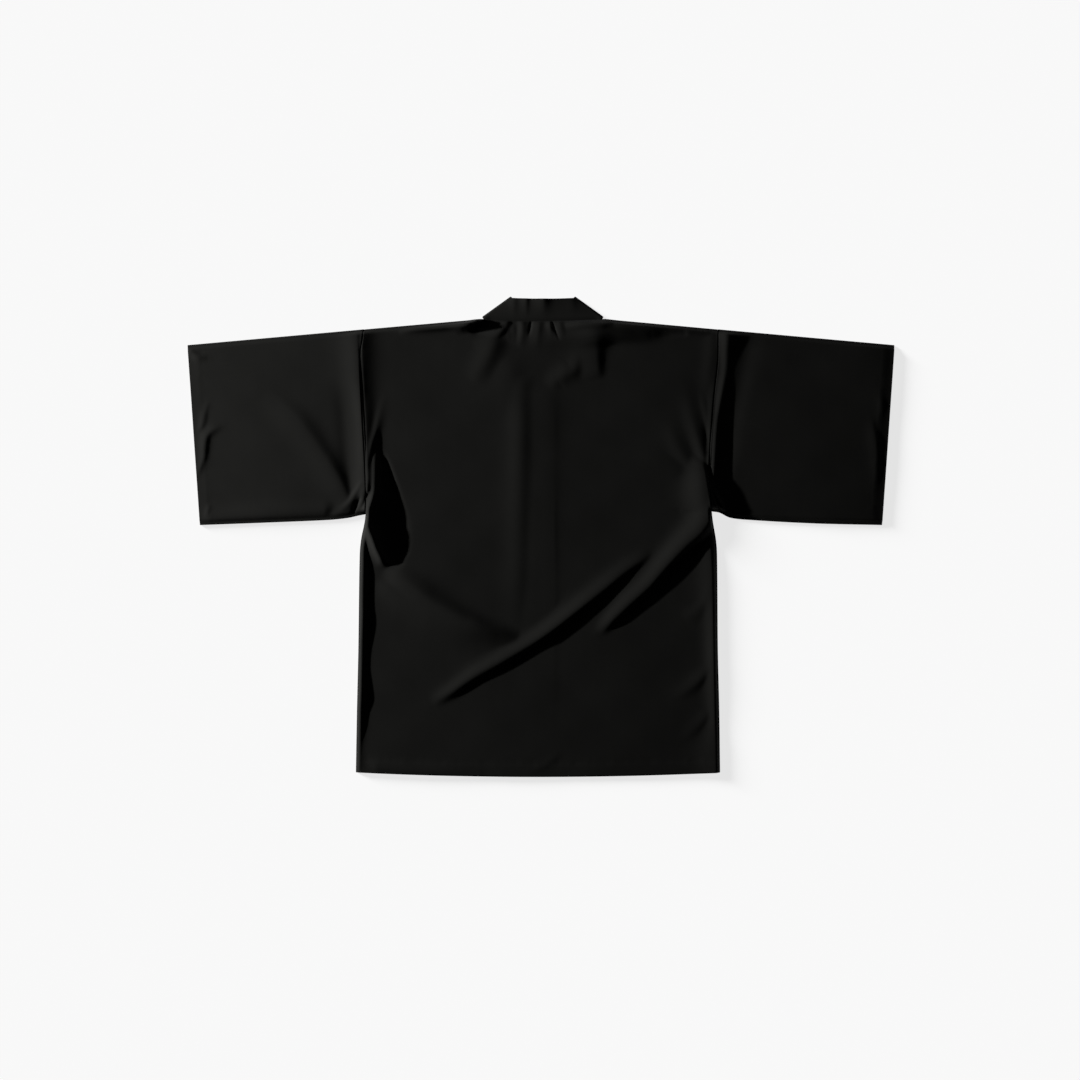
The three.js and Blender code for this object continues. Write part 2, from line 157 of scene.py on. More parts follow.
# Folds of the upper layer. Each is a crest through stations, and a station has its place, the
# fold's height, and how wide the fold spreads to the left and right of somebody who walks along
# the crest. Sharpness is the power in the cross section: 1.5 is a crisp ridge, 2 a round one
# and 4 a hollow with a flat bottom. A trough has heights below zero.
Station = namedtuple("Station", "x y height left right")
Fold = namedtuple("Fold", "name sharpness stations")


def fold(name, sharpness, *rows):
    return Fold(name, sharpness, [Station(*row) for row in rows])


# Broad swells under the folds
SWELLS = [
    fold("over the collar's neck", 3,
         (-64, 372, 0.2, 14, 18), (-38, 375, 2.4, 16, 24), (4, 378, 6.4, 17, 28),
         (60, 379, 9.8, 17, 27), (104, 377, 12.4, 18, 21), (140, 376, 9.4, 18, 18),
         (178, 375, 5.1, 17, 17), (216, 374, 1, 15, 15), (236, 374, 0.1, 12, 12)),
    fold("along the right sleeve", 2,
         (606, 330, 3.6, 120, 150), (600, 200, 4, 120, 160), (590, 70, 3.6, 120, 150)),
]

# Folds of the back
BODY_FOLDS = [
    fold("main diagonal", 2,
         (202, -31, 0.4, 8, 14), (180, -46, 2.4, 8, 15), (153, -66, 3.8, 8, 17),
         (123, -91, 5.4, 9, 18), (68, -135, 6.8, 9, 18), (16, -175, 7.4, 9, 18),
         (-27, -203, 6.4, 9, 17), (-80, -234, 5.7, 9, 16), (-122, -257, 5.1, 9, 15),
         (-165, -286, 4, 9, 13), (-200, -307, 0.2, 8, 12)),
    fold("from the right underarm", 2.2,
         (299, 122, 7.6, 9, 26), (303, 96, 11.2, 10, 32), (307, 70, 12.8, 10, 36),
         (312, 42, 13.8, 10, 34), (297, 12, 12.8, 12, 30), (266, -17, 10.6, 11, 24),
         (232, -53, 9.2, 10, 21), (199, -91, 7.4, 9, 19), (166, -121, 6.3, 9, 18),
         (131, -154, 4.8, 8, 14), (106, -176, 0.5, 8, 10)),
    fold("left underarm, outer", 1.7,
         (-289, 258, 0.2, 10, 12), (-297, 224, 1.2, 9, 12), (-304, 195, 2.8, 8, 11),
         (-311, 168, 4.4, 7, 10), (-316, 143, 3.8, 7, 10), (-319, 120, 1, 7, 10)),
    fold("left underarm, inner", 1.6,
         (-304, 158, 2, 7, 8), (-305, 143, 4.8, 8, 9), (-305, 127, 6.4, 8, 10),
         (-305, 105, 8.3, 9, 11), (-306, 82, 10.6, 10, 11), (-311, 62, 13.8, 11, 11),
         (-317, 42, 16.4, 12, 11), (-317, 20, 17.2, 12, 11), (-309, -2, 15.6, 11, 10),
         (-301, -24, 12.6, 10, 9), (-293, -40, 9.6, 8, 8), (-287, -49, 4, 7, 8),
         (-283, -56, 0.3, 6, 7)),
    fold("left underarm, hollow", 4,
         (-293, 150, -0.5, 8, 8), (-286, 118, -3, 12, 12), (-280, 80, -3.5, 18, 18),
         (-277, 40, -3.5, 25, 25), (-274, 0, -3.5, 27, 27), (-270, -32, -3.2, 22, 22),
         (-267, -46, -1, 14, 14)),
    fold("from the left underarm", 1.9,
         (-280, -54, 0.3, 18, 16), (-259, -75, 4.9, 21, 30), (-233, -96, 6.9, 23, 42),
         (-202, -121, 8.3, 22, 41), (-170, -139, 9.1, 19, 36), (-142, -153, 9.3, 17, 32),
         (-118, -162, 9, 15, 28), (-95, -170, 7.4, 14, 24), (-72, -177, 4.9, 13, 20),
         (-52, -185, 2.4, 13, 16), (-34, -194, 0.1, 12, 12)),
    fold("from the left underarm, second", 1.9,
         (-302, -84, 0.3, 10, 14), (-278, -97, 3, 11, 20), (-254, -116, 3, 12, 24),
         (-232, -136, 1.6, 12, 24), (-214, -152, 0.2, 10, 18)),
    fold("left side lip", 1.6,
         (-326, -6, 5, 9, 8), (-328, -30, 4.4, 7, 8), (-328, -75, 5.4, 9, 8),
         (-328, -118, 5.2, 8, 8), (-328, -152, 5.9, 9, 8), (-331, -200, 5, 8, 8),
         (-331, -235, 4.4, 8, 8), (-331, -262, 5.2, 8, 8), (-331, -292, 5.8, 8, 8),
         (-333, -318, 4.6, 8, 8), (-335, -350, 4, 8, 8), (-337, -385, 2.4, 7, 8),
         (-338, -420, 1.4, 7, 8)),
    fold("right side lip", 1.6,
         (311, -14, 3, 6, 20), (314, -60, 4.6, 6, 20), (315, -105, 4.8, 6, 20),
         (316, -140, 5, 6, 13), (317, -200, 5.4, 6, 12), (318, -250, 5.2, 6, 12),
         (319, -300, 5, 6, 12), (320, -345, 4, 6, 12), (322, -390, 4.6, 6, 24),
         (324, -428, 4.6, 6, 28)),
    fold("right side, upper wrinkle", 2,
         (262, -152, 0.2, 12, 14), (280, -142, 1, 12, 16), (298, -126, 1.8, 12, 16),
         (308, -98, 1.6, 10, 14)),
    fold("right side, middle wrinkle", 1.9,
         (246, -296, 0.2, 14, 10), (270, -281, 1.3, 14, 10), (290, -265, 2.2, 14, 10),
         (305, -248, 1.8, 12, 10)),
    fold("right side, lower wrinkle", 1.9,
         (264, -368, 0.2, 14, 10), (286, -350, 1.1, 14, 10), (304, -330, 1.5, 12, 10)),
    fold("left of the spine", 2,
         (-38, 300, 0.3, 20, 22), (-37, 272, 2, 20, 22), (-37, 210, 3.1, 21, 22),
         (-38, 120, 2.8, 21, 22), (-40, 30, 2.2, 20, 22), (-42, -60, 1.7, 20, 22),
         (-46, -150, 0.5, 20, 20)),
    fold("along the spine", 3.2,
         (-2, 285, 0.2, 34, 36), (-2, 240, 1.4, 34, 36), (-2, 130, 1.3, 34, 36),
         (-2, 10, 1.2, 33, 36), (-2, -110, 0.9, 32, 36), (-4, -250, 0.5, 30, 34),
         (-6, -345, 0.1, 30, 34)),
    fold("right of the spine", 1.8,
         (24, 262, 0.1, 8, 14), (24, 215, 0.7, 8, 14), (24, 120, 0.5, 8, 14), (24, 20, 0.8, 7, 14),
         (25, -70, 0.6, 8, 14), (23, -210, 0.4, 9, 14), (21, -345, 0.1, 9, 14)),
    fold("level pull to the right underarm", 2,
         (96, 152, 0.2, 16, 16), (150, 149, 1, 16, 18), (205, 141, 1.5, 14, 18),
         (248, 130, 1.3, 12, 16), (276, 122, 0.4, 10, 12)),
    fold("upper pull to the right underarm", 1.9,
         (259, 296, 0.2, 12, 16), (268, 258, 0.6, 14, 15), (277, 222, 1.4, 15, 13),
         (286, 190, 2.4, 15, 12), (295, 158, 3.2, 13, 11), (302, 132, 3.4, 10, 10),
         (306, 112, 2, 7, 8)),
    fold("beside the upper pull", 2,
         (296, 262, 0.2, 9, 8), (302, 236, 1, 9, 8), (307, 208, 1, 8, 8), (308, 184, 0.1, 8, 8)),
    fold("lower pull to the right underarm", 1.9,
         (234, 210, 0.2, 14, 15), (244, 182, 1.1, 15, 15), (257, 155, 1.6, 15, 15),
         (271, 134, 1.8, 12, 13), (286, 119, 1.2, 8, 9)),
    fold("beside the right armhole", 2,
         (316, 370, 1.2, 17, 13), (314, 336, 1.4, 17, 13), (310, 296, 1, 15, 13),
         (307, 255, 0.2, 12, 12)),
    fold("between the armhole and the pulls", 2,
         (303, 206, -0.3, 5, 5), (306, 182, -1.2, 6, 5), (308, 152, -0.8, 4, 5)),
    fold("left shoulder lip", 1.8,
         (-262, 377, 0.3, 7, 6), (-228, 381, 6, 7, 6), (-190, 384, 9.5, 7, 6),
         (-168, 386, 12, 7, 7), (-145, 388, 17, 8, 9), (-131, 391, 20, 9, 11),
         (-120, 396, 17, 8, 9)),
    fold("below the neck's left end", 2,
         (-57, 386, 0.2, 12, 10), (-64, 374, 1.6, 14, 14), (-70, 364, 1, 14, 14)),
    fold("left shoulder, across the wedge", 2,
         (-124, 350, 0.2, 12, 30), (-104, 356, 1.6, 9, 30), (-86, 363, 1.6, 8, 26),
         (-72, 372, 0.6, 7, 20)),
    fold("left shoulder, below the neck's end", 1.9,
         (-58, 400, 5, 8, 16), (-66, 390, 5.5, 9, 20), (-76, 376, 4.6, 9, 26)),
    fold("left shoulder hollow", 3,
         (-146, 374, -0.6, 7, 5), (-122, 381, -3.5, 14, 10), (-98, 388, -3.5, 14, 15),
         (-78, 393, -3.5, 14, 14), (-60, 400, -3.2, 12, 11)),
    fold("right shoulder lip", 1.8,
         (104, 392, 2, 6, 8), (120, 391, 4, 6, 9), (140, 390, 6, 7, 9), (172, 388, 7.5, 8, 9),
         (214, 385, 8, 8, 9), (258, 381, 6, 8, 8), (306, 377, 2, 7, 8)),
    fold("right shoulder hollow", 3,
         (206, 371, -0.5, 9, 9), (232, 373, -1.8, 8, 8), (262, 374, -1.2, 6, 6)),
    fold("left of the neck", 1.9,
         (-82, 372, 1.2, 14, 16), (-86, 356, 3.2, 17, 20), (-97, 330, 3.2, 18, 21),
         (-111, 306, 2.4, 18, 20), (-128, 284, 0.2, 14, 18)),
    fold("between the neck and the spine", 2,
         (-62, 332, 0.2, 22, 28), (-58, 300, 1.6, 24, 32), (-54, 262, 1.2, 22, 28),
         (-50, 222, 0.3, 20, 24)),
    fold("right of the neck, upper", 1.9,
         (66, 348, 0.3, 12, 14), (66, 324, 2, 14, 16), (60, 306, 3, 14, 18),
         (43, 297, 3.2, 14, 18), (27, 287, 2, 14, 16), (20, 266, 0.2, 13, 14)),
    fold("right of the neck, outer", 2,
         (98, 364, 2, 20, 32), (99, 352, 3.8, 20, 38), (100, 336, 3.8, 15, 40),
         (102, 318, 3.2, 12, 38), (104, 304, 2.4, 11, 30), (108, 290, 0.2, 9, 20)),
    fold("hem, left", 2,
         (-300, -424, 1.6, 16, 10), (-210, -432, 1.8, 16, 10), (-120, -436, 0.5, 14, 10)),
    fold("hem, middle", 2,
         (-20, -432, 0.2, 12, 8), (10, -418, 0.5, 10, 7), (30, -400, 0.2, 8, 7)),
]

# Folds beside the armholes and on the sleeves
SEAM_FOLDS = [
    fold("left armhole", 1.7,
         (-338, 376, 6, 17, 28), (-337, 345, 6.2, 17, 26), (-335, 308, 6.2, 15, 24),
         (-332, 270, 6, 11, 18), (-329, 235, 5.8, 8, 15), (-326.5, 200, 5.6, 7, 14),
         (-324.5, 155, 6, 7, 14), (-323, 112, 6.8, 9, 16), (-323, 88, 8.5, 10, 17),
         (-327, 66, 6, 9, 13), (-334, 50, 1.5, 6, 9)),
    fold("left armhole, hollow beside it", 2,
         (-372, 280, -0.3, 14, 14), (-365, 240, -0.8, 12, 12), (-361, 195, -1.2, 12, 12),
         (-358, 150, -1.2, 12, 11), (-352, 112, -0.6, 10, 9)),
    fold("left armhole, body side", 1.7,
         (-329, 372, 4.6, 21, 6), (-328, 345, 4.6, 21, 6), (-326, 308, 3.9, 19, 6),
         (-324, 262, 3.9, 16, 4), (-321.5, 215, 4.2, 14, 3), (-319.5, 165, 4.8, 14, 3),
         (-318, 130, 6.5, 14, 5), (-317, 104, 8, 14, 6), (-318, 86, 8.5, 12, 6)),
    fold("left armhole, groove", 2,
         (-333, 352, -0.2, 1.8, 1.8), (-330.5, 310, -0.6, 1.8, 1.8), (-328, 265, -0.7, 1.8, 1.8),
         (-325.5, 220, -0.5, 1.6, 1.6), (-323, 175, -0.2, 1.4, 1.4)),
    fold("right armhole", 1.8,
         (343, 380, 8.8, 36, 14), (343, 362, 7.7, 35, 13), (342, 341, 5.5, 32, 11),
         (341, 308, 4.3, 28, 9), (334, 268, 4.1, 22, 8), (327.5, 234, 4, 17, 8),
         (323, 204, 4.4, 13, 8), (320, 166, 5.2, 11, 8), (318, 134, 5.6, 10, 8),
         (316, 108, 6.3, 9, 8), (314.5, 88, 7.2, 9, 9), (314, 64, 8, 9, 10),
         (315, 46, 8.4, 9, 11)),
    fold("right armhole, hollow beside it", 2.6,
         (366, 378, -2, 30, 18), (364, 345, -3, 30, 19), (357, 308, -3, 28, 16),
         (350, 268, -2.8, 26, 15), (343, 234, -2.6, 24, 13), (339, 204, -2.4, 24, 13),
         (336, 166, -2.2, 22, 11), (333, 134, -1.6, 20, 10), (334, 108, -0.6, 16, 10)),
    fold("right armhole, body side", 1.8,
         (318, 300, 0.5, 5, 8), (316, 262, 1, 5, 10), (314, 230, 2.2, 6, 10),
         (312.5, 195, 3, 5, 9), (310.5, 160, 4, 5, 9), (308.5, 132, 4.4, 5, 7)),
    fold("right underarm, first sliver", 1.8,
         (315, 74, 7, 3.5, 3.5), (319, 60, 10.6, 3.5, 3.5), (324, 48, 8.6, 3.5, 3.5)),
    fold("right underarm, second sliver", 1.8,
         (319, 82, 7, 4, 3.5), (326, 65, 9.8, 4, 3.5), (334, 51, 7, 4, 3.5)),
    fold("left sleeve diagonal", 1.9,
         (-504, 268, 0.2, 12, 30), (-473, 242, 1.5, 16, 32), (-444, 213, 2.8, 17, 34),
         (-419, 178, 3.7, 17, 34), (-398, 148, 4, 16, 33), (-381, 121, 4.2, 14, 30),
         (-367, 96, 3.8, 12, 26), (-357, 74, 2, 9, 18)),
    fold("left sleeve, pull to the underarm", 1.6,
         (-372, 44, 1.2, 10, 12), (-354, 60, 3.6, 7, 12), (-341, 78, 4.8, 6, 11),
         (-331, 96, 4.6, 6, 10)),
    fold("left sleeve, slit at the underarm", 2,
         (-347, 40, -2, 3, 3), (-340, 54, -2.8, 3.5, 3.5), (-332, 70, -1.8, 3, 3)),
    fold("left sleeve, along the bottom", 2,
         (-606, 36, 1.6, 16, 9), (-540, 40, 2.6, 18, 9), (-470, 43, 2.8, 18, 9),
         (-400, 47, 2.4, 16, 9)),
    fold("left cuff, wedge", 1.6,
         (-586, 202, 0.3, 6, 8), (-601, 196, 1.7, 7, 10), (-614, 184, 2.6, 7, 11),
         (-618, 164, 2.8, 7, 11), (-619, 148, 2.4, 6, 9), (-626, 126, 1.6, 5, 7),
         (-631, 112, 0.3, 5, 6)),
    fold("left cuff, upper wrinkle", 1.8,
         (-612, 246, 0.2, 5, 6), (-618, 226, 1.1, 5, 7), (-622, 206, 1.3, 6, 7),
         (-628, 194, 0.7, 5, 5)),
    fold("left cuff, top corner", 2,
         (-642, 338, 2, 6, 8), (-630, 330, 2, 6, 8), (-612, 330, 0.3, 6, 8)),
    fold("left cuff, lower wrinkle", 1.8,
         (-608, 60, 0.2, 5, 5), (-612, 46, 1.4, 5, 6), (-616, 34, 0.6, 5, 6)),
    fold("right cuff, wrinkle", 1.8,
         (606, 214, 0.2, 6, 12), (613, 186, 1.4, 6, 13), (617, 152, 1.2, 6, 12),
         (617, 118, 1, 6, 10), (616, 92, 0.2, 6, 9)),
    fold("right cuff, upper wrinkle", 1.8,
         (622, 262, 0.2, 6, 8), (626, 240, 0.9, 7, 8), (624, 216, 0.2, 6, 8)),
]

# Gathers below the collar seam, each from the seam down to where it fades
GATHERS = [
    fold("gather 1", 2, (-54, 394, 0.5, 7, 8), (-52, 380, 1, 7, 8), (-50, 358, 0.2, 7, 8)),
    fold("gather 2", 1.9, (-35, 398, 2.2, 9, 7), (-34, 380, 2, 8, 7), (-36, 364, 1.2, 8, 7),
         (-38, 350, 0.2, 8, 7)),
    fold("slit 1", 2, (-16.5, 398, -1.4, 2.4, 2.6), (-19.5, 383, -1.9, 2.6, 2.8),
         (-22, 370, -0.5, 2.4, 2.6)),
    fold("gather 3", 1.9, (-3.5, 398, 1.6, 7, 10), (-5, 380, 1.5, 7, 10), (-7, 362, 0.8, 8, 10),
         (-8, 346, 0.1, 8, 10)),
    fold("gather 4", 1.8, (17, 398, 1.5, 3, 6), (17, 386, 1.5, 3, 6), (18.5, 376, 0.5, 3, 5),
         (19, 366, 0.1, 3, 5)),
    fold("slit 2", 2, (19.5, 396, -0.8, 2, 2.2), (24, 384, -1.7, 2.2, 2.4),
         (29, 373, -1.4, 2.2, 2.4), (34, 362, -0.2, 2, 2.2)),
    fold("gather 5", 1.9, (33, 396, 1.6, 8, 7), (36, 382, 1.2, 8, 6), (41, 367, 0.2, 7, 6)),
    fold("gather at the seam", 1.8, (44, 389, 0.6, 6, 8), (74, 389, 5.4, 7, 7),
         (108, 389, 6.4, 7, 7), (126, 390, 4.6, 6, 7)),
]
ALL_FOLDS = BODY_FOLDS + SEAM_FOLDS + GATHERS

# Steps between two stations of a crest, how many widths a fold reaches to, and a length that
# stands for none in a division
SPAN_STEPS = 8
FOLD_WIDTHS = 3
NO_LENGTH = 1e-9

# Ridges that meet are summed by a power, and a trough ends softly on the layer below
RIDGE_POWER = 3
SOFT_FLOOR = 0.5

# Wrinkles of the collar's neck stretch, strongest at its free edge: a crest's x, its height,
# and how wide it is at the left and right
Wrinkle = namedtuple("Wrinkle", "x height left right")
WRINKLE_SHARPNESS = 1.8
WRINKLE_FADE = 1.6
COLLAR_WRINKLES = [
    Wrinkle(-49, 1.6, 8, 6),
    Wrinkle(-27, 2.0, 9, 5),
    Wrinkle(5, 3.0, 14, 11),
    Wrinkle(58, 1.0, 12, 8),
]

# Slow waves that keep the cloth from lying dead flat. Their headings are in degrees
Wave = namedtuple("Wave", "height length heading phase")
WAVES = [
    Wave(0.34, 230, 20, 0.4),
    Wave(0.26, 150, 75, 1.9),
    Wave(0.12, 95, 130, 3.1),
    Wave(0.05, 57, 48, 5.0),
]

# Short ripples beside sewn lines
PUCKERS = [
    Wave(0.06, 43, 0, 0.7),
    Wave(0.05, 27.5, 0, 2.4),
    Wave(0.03, 15.3, 0, 4.1),
]

# Grids, as zones of a length cut into steps of a size
EDGE_ZONES = [(4, 0.8), (9, 1.5), (16, 2.6)]
PLAIN_STEP = 3.2
TURN_ZONE = [(8, 1.0)]
GATHER_HALF = 64.0
GATHER_DEPTH = 24.0
GATHER_STEP = 1.9
FRONT_ACROSS_STEP = 0.05

# How far the first two rows at an edge sink to round it, less beside an armhole by a share, and
# how far they move out sideways while normals are worked out
SINKS = [1.6, 0.75]
SINK_SHIFTS = [0.5, 0.2]
SEAM_SHARE = 0.6


def smooth(value, low, high):
    t = np.clip((value - low) / (high - low), 0, 1)
    return t * t * (3 - 2 * t)


def mix(a, b, share):
    return a + (b - a) * share


def table_curve(rows, by, column, where):
    """Value of one column of a table at places between its rows, on a smooth curve."""
    rows = sorted(rows, key=lambda row: getattr(row, by))
    at = np.array([getattr(row, by) for row in rows], float)
    value = np.array([getattr(row, column) for row in rows], float)
    before = np.maximum(np.arange(len(rows)) - 1, 0)
    after = np.minimum(np.arange(len(rows)) + 1, len(rows) - 1)
    slope = (value[after] - value[before]) / (at[after] - at[before])
    where = np.clip(where, at[0], at[-1])
    index = np.clip(np.searchsorted(at, where) - 1, 0, len(rows) - 2)
    span = at[index + 1] - at[index]
    t = (where - at[index]) / span
    leave = (t - 1) ** 2 * t * span * slope[index]
    arrive = (t - 1) * t ** 2 * span * slope[index + 1]
    return mix(value[index], value[index + 1], t * t * (3 - 2 * t)) + leave + arrive


def body_side(side, y):
    return table_curve(SIDE_ROWS, "y", "left" if side < 0 else "right", y)


def top_edge(x):
    from_neck = np.abs(x - NECK_CENTRE_X)
    neckline = NECK_Y - NECKLINE_DIP * (1 - (from_neck / NECK_HALF) ** 2)
    run = SHOULDER_END_X - np.sign(x) * NECK_CENTRE_X - NECK_HALF
    shoulder = mix(NECK_Y, SHOULDER_END_Y, (from_neck - NECK_HALF) / run)
    return np.where(from_neck < NECK_HALF, neckline, shoulder)


def hem_edge(x):
    return HEM_SIDE_Y - HEM_SAG * (1 - np.minimum(np.abs(x) / HEM_HALF, 1) ** 2)


def through(values, steps):
    """A smooth curve through values, cut into steps from each one to the next."""
    values = np.array(values, float)
    where = np.linspace(0, len(values) - 1, (len(values) - 1) * steps + 1)
    index = np.minimum(where.astype(int), len(values) - 2)
    slope = np.gradient(values)
    t = where - index
    leave = (t - 1) ** 2 * t * slope[index]
    arrive = (t - 1) * t ** 2 * slope[index + 1]
    return mix(values[index], values[index + 1], t * t * (3 - 2 * t)) + leave + arrive


def fold_height(crease, x, y):
    """Height that one fold adds at points, falling away from the nearest place on its crest."""
    crest_x, crest_y, height, left, right = (
        through(column, SPAN_STEPS) for column in zip(*crease.stations))
    reach = FOLD_WIDTHS * max(left.max(), right.max())
    near = ((x > crest_x.min() - reach) & (x < crest_x.max() + reach)
            & (y > crest_y.min() - reach) & (y < crest_y.max() + reach))
    total = np.zeros_like(x)
    near_x = x[near]
    near_y = y[near]
    distance = np.full(near_x.shape, np.inf)
    side = np.zeros_like(near_x)
    along = np.zeros_like(near_x)
    for index in range(len(crest_x) - 1):
        run_x = crest_x[index + 1] - crest_x[index]
        run_y = crest_y[index + 1] - crest_y[index]
        length = math.hypot(run_x, run_y)
        away_x = near_x - crest_x[index]
        away_y = near_y - crest_y[index]
        share = np.clip((away_x * run_x + away_y * run_y) / length ** 2, 0, 1)
        off_x = away_x - share * run_x
        off_y = away_y - share * run_y
        gap = np.hypot(off_x, off_y)
        closer = gap < distance
        turned = (run_x * off_y - run_y * off_x) / (length * np.maximum(gap, NO_LENGTH))
        distance = np.where(closer, gap, distance)
        side = np.where(closer, turned, side)
        along = np.where(closer, index + share, along)
    steps = np.arange(len(crest_x))
    to_left = smooth(side, -1, 1)
    width = mix(np.interp(along, steps, right), np.interp(along, steps, left), to_left)
    fall = np.exp(-(distance / width) ** crease.sharpness)
    total[near] = np.interp(along, steps, height) * fall
    return total


def waves_height(waves, x, y):
    total = np.zeros_like(x)
    for wave in waves:
        heading = math.radians(wave.heading)
        along = x * math.cos(heading) + y * math.sin(heading)
        total += wave.height * np.sin(2 * math.pi * along / wave.length + wave.phase)
    return total


def relief(x, y):
    """Height of the upper layer over its level. Where ridges meet, the higher one wins."""
    ridges = np.zeros_like(x)
    troughs = np.zeros_like(x)
    for crease in ALL_FOLDS:
        height = fold_height(crease, x, y)
        ridges += np.maximum(height, 0) ** RIDGE_POWER
        troughs += np.minimum(height, 0)
    swells = sum(fold_height(swell, x, y) for swell in SWELLS)
    return ridges ** (1 / RIDGE_POWER) + troughs + swells + waves_height(WAVES, x, y)


def above_the_layer_below(rise):
    """A rise that never goes below zero, with a soft bend where it would."""
    return (rise + np.sqrt(rise ** 2 + SOFT_FLOOR ** 2)) / 2


def pucker(distance, along, reach):
    """Ripples that run across a sewn line and die out at a reach from it."""
    return waves_height(PUCKERS, along, along) * np.exp(-(distance / reach) ** 2)


def turned_edge(distance, along, width):
    """Step of an edge that is turned in and sewn: thicker at the edge, with a sewn dent."""
    step = TURN_STEP * (1 - smooth(distance, width - TURN_STEP_HALF, width + TURN_STEP_HALF))
    dent = -DENT_DEPTH * np.exp(-((distance - (width - DENT_INSET)) / DENT_WIDTH) ** 2)
    return step + dent + pucker(distance - width, along, TURN_PUCKER_REACH)


def back_underside(x, y):
    """Height of the back's underside, level with the seams at the sides, shoulders and neck."""
    to_side = np.minimum(x - body_side(-1, y), body_side(1, y) - x) - CLOTH
    along_armhole = smooth(y, *UNDERARM_BLEND)
    from_side = mix(smooth(to_side, 0, SEAM_RISE), 1, along_armhole)
    beside_neck = smooth(np.abs(x - NECK_CENTRE_X), NECK_HALF, NECK_HALF + NECK_BLEND)
    from_shoulder = mix(1, smooth(top_edge(x) - CLOTH - y, 0, FOLD_RISE), beside_neck)
    from_hem = mix(HEM_SHARE, 1, smooth(y - hem_edge(x), 0, HEM_RISE))
    hem = turned_edge(y - hem_edge(x), x, HEM_TURN)
    seam = pucker(to_side, y, SEAM_PUCKER_REACH) * along_armhole
    from_neck_seam = mix(smooth(top_edge(x) - CLOTH - y, -1, NECK_RISE), 1, beside_neck)
    folds = relief(x, y)
    folds = np.maximum(folds, 0) * from_neck_seam + np.minimum(folds, 0)
    rise = above_the_layer_below(LAYER_ROOM - SEAM_GAP + folds + seam)
    return SEAT + rise * from_side * from_shoulder * from_hem + hem


def positions(zones):
    """Places from 0 through zones, each a length cut into steps of about a size."""
    places = [0.0]
    for length, step in zones:
        count = max(1, round(length / step))
        start = places[-1]
        places.extend(start + length * (index + 1) / count for index in range(count))
    return np.array(places)


def edged(length, before_end=(), after_start=()):
    """Places over a length with fine steps at both ends, and other zones next to those."""
    inner = list(after_start) + list(before_end)
    taken = 2 * sum(size for size, _ in EDGE_ZONES) + sum(size for size, _ in inner)
    middle = [(length - taken, PLAIN_STEP)]
    return positions(EDGE_ZONES + list(after_start) + middle + list(before_end) + EDGE_ZONES[::-1])


def even_steps(places):
    """The same places, with one more in the widest step where the count of steps is odd."""
    if len(places) % 2 == 1:
        return places
    widest = int(np.argmax(np.diff(places)))
    return np.insert(places, widest + 1, places[widest:widest + 2].mean())


def lowest_around(z):
    """The lowest height within two steps of each point of a grid."""
    lowest = z
    for _ in range(2):
        padded = np.pad(lowest, 1, mode="edge")
        shifts = [padded[1 + i:padded.shape[0] - 1 + i, 1 + j:padded.shape[1] - 1 + j]
                  for i in (-1, 0, 1) for j in (-1, 0, 1)]
        lowest = np.min(shifts, axis=0)
    return lowest


def grid_normals(points, tube):
    if tube:
        across = np.roll(points, -1, 1) - np.roll(points, 1, 1)
    else:
        across = np.gradient(points, axis=1)
    along = -np.gradient(points, axis=0)
    normal = np.cross(across, along)
    return normal / np.linalg.norm(normal, axis=2, keepdims=True)


def grid_faces(rows, columns, tube, first):
    row, column = np.meshgrid(np.arange(rows - 1), np.arange(columns if tube else columns - 1),
                              indexing="ij")
    after = (column + 1) % columns
    corners = [row * columns + column, row * columns + after,
               (row + 1) * columns + after, (row + 1) * columns + column]
    return first + np.stack(corners, -1).reshape(-1, 4)


def wall_mesh(name, outside, inside, tube, material, skip=1):
    """Closed wall between two grids of points, of which the inside may have every skip-th point.

    A tube's grid joins its last column to its first.
    """
    rows, columns, _ = outside.shape
    inner_rows, inner_columns, _ = inside.shape
    points = np.concatenate([outside.reshape(-1, 3), inside.reshape(-1, 3)]) * MM
    start = rows * columns
    faces = grid_faces(rows, columns, tube, 0).tolist()
    faces += grid_faces(inner_rows, inner_columns, tube, start)[:, ::-1].tolist()

    def rim(outer, inner):
        for index in range(len(inner) - 1):
            run = outer[index * skip:(index + 1) * skip + 1]
            faces.append(run[::-1] + [inner[index], inner[index + 1]])

    def edge_row(count, width, row, first):
        line = [first + row * width + column for column in range(count)]
        return line + line[:1] if tube else line

    def edge_column(count, width, column, first):
        return [first + row * width + column for row in range(count)]

    rim(edge_row(columns, columns, 0, 0), edge_row(inner_columns, inner_columns, 0, start))
    rim(edge_row(columns, columns, rows - 1, 0)[::-1],
        edge_row(inner_columns, inner_columns, inner_rows - 1, start)[::-1])
    if not tube:
        rim(edge_column(rows, columns, 0, 0)[::-1],
            edge_column(inner_rows, inner_columns, 0, start)[::-1])
        rim(edge_column(rows, columns, columns - 1, 0),
            edge_column(inner_rows, inner_columns, inner_columns - 1, start))
    mesh = bpy.data.meshes.new(name)
    mesh.from_pydata(points.tolist(), [], faces)
    mesh.materials.append(material)
    mesh.polygons.foreach_set("use_smooth", np.ones(len(mesh.polygons), bool))
    piece = bpy.data.objects.new(name, mesh)
    bpy.context.scene.collection.objects.link(piece)
    return piece


def place(piece, node):
    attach(piece, BODY)
    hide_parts(node)


def padded_edges(values, low, high):
    """Values with two more at each end, for the rows that turn down round an edge."""
    return np.concatenate([[low, low], values, [high, high]])


def sink_amounts(count):
    sinks = np.zeros(count)
    sinks[:2] = SINKS
    sinks[-2:] = SINKS[::-1]
    return sinks


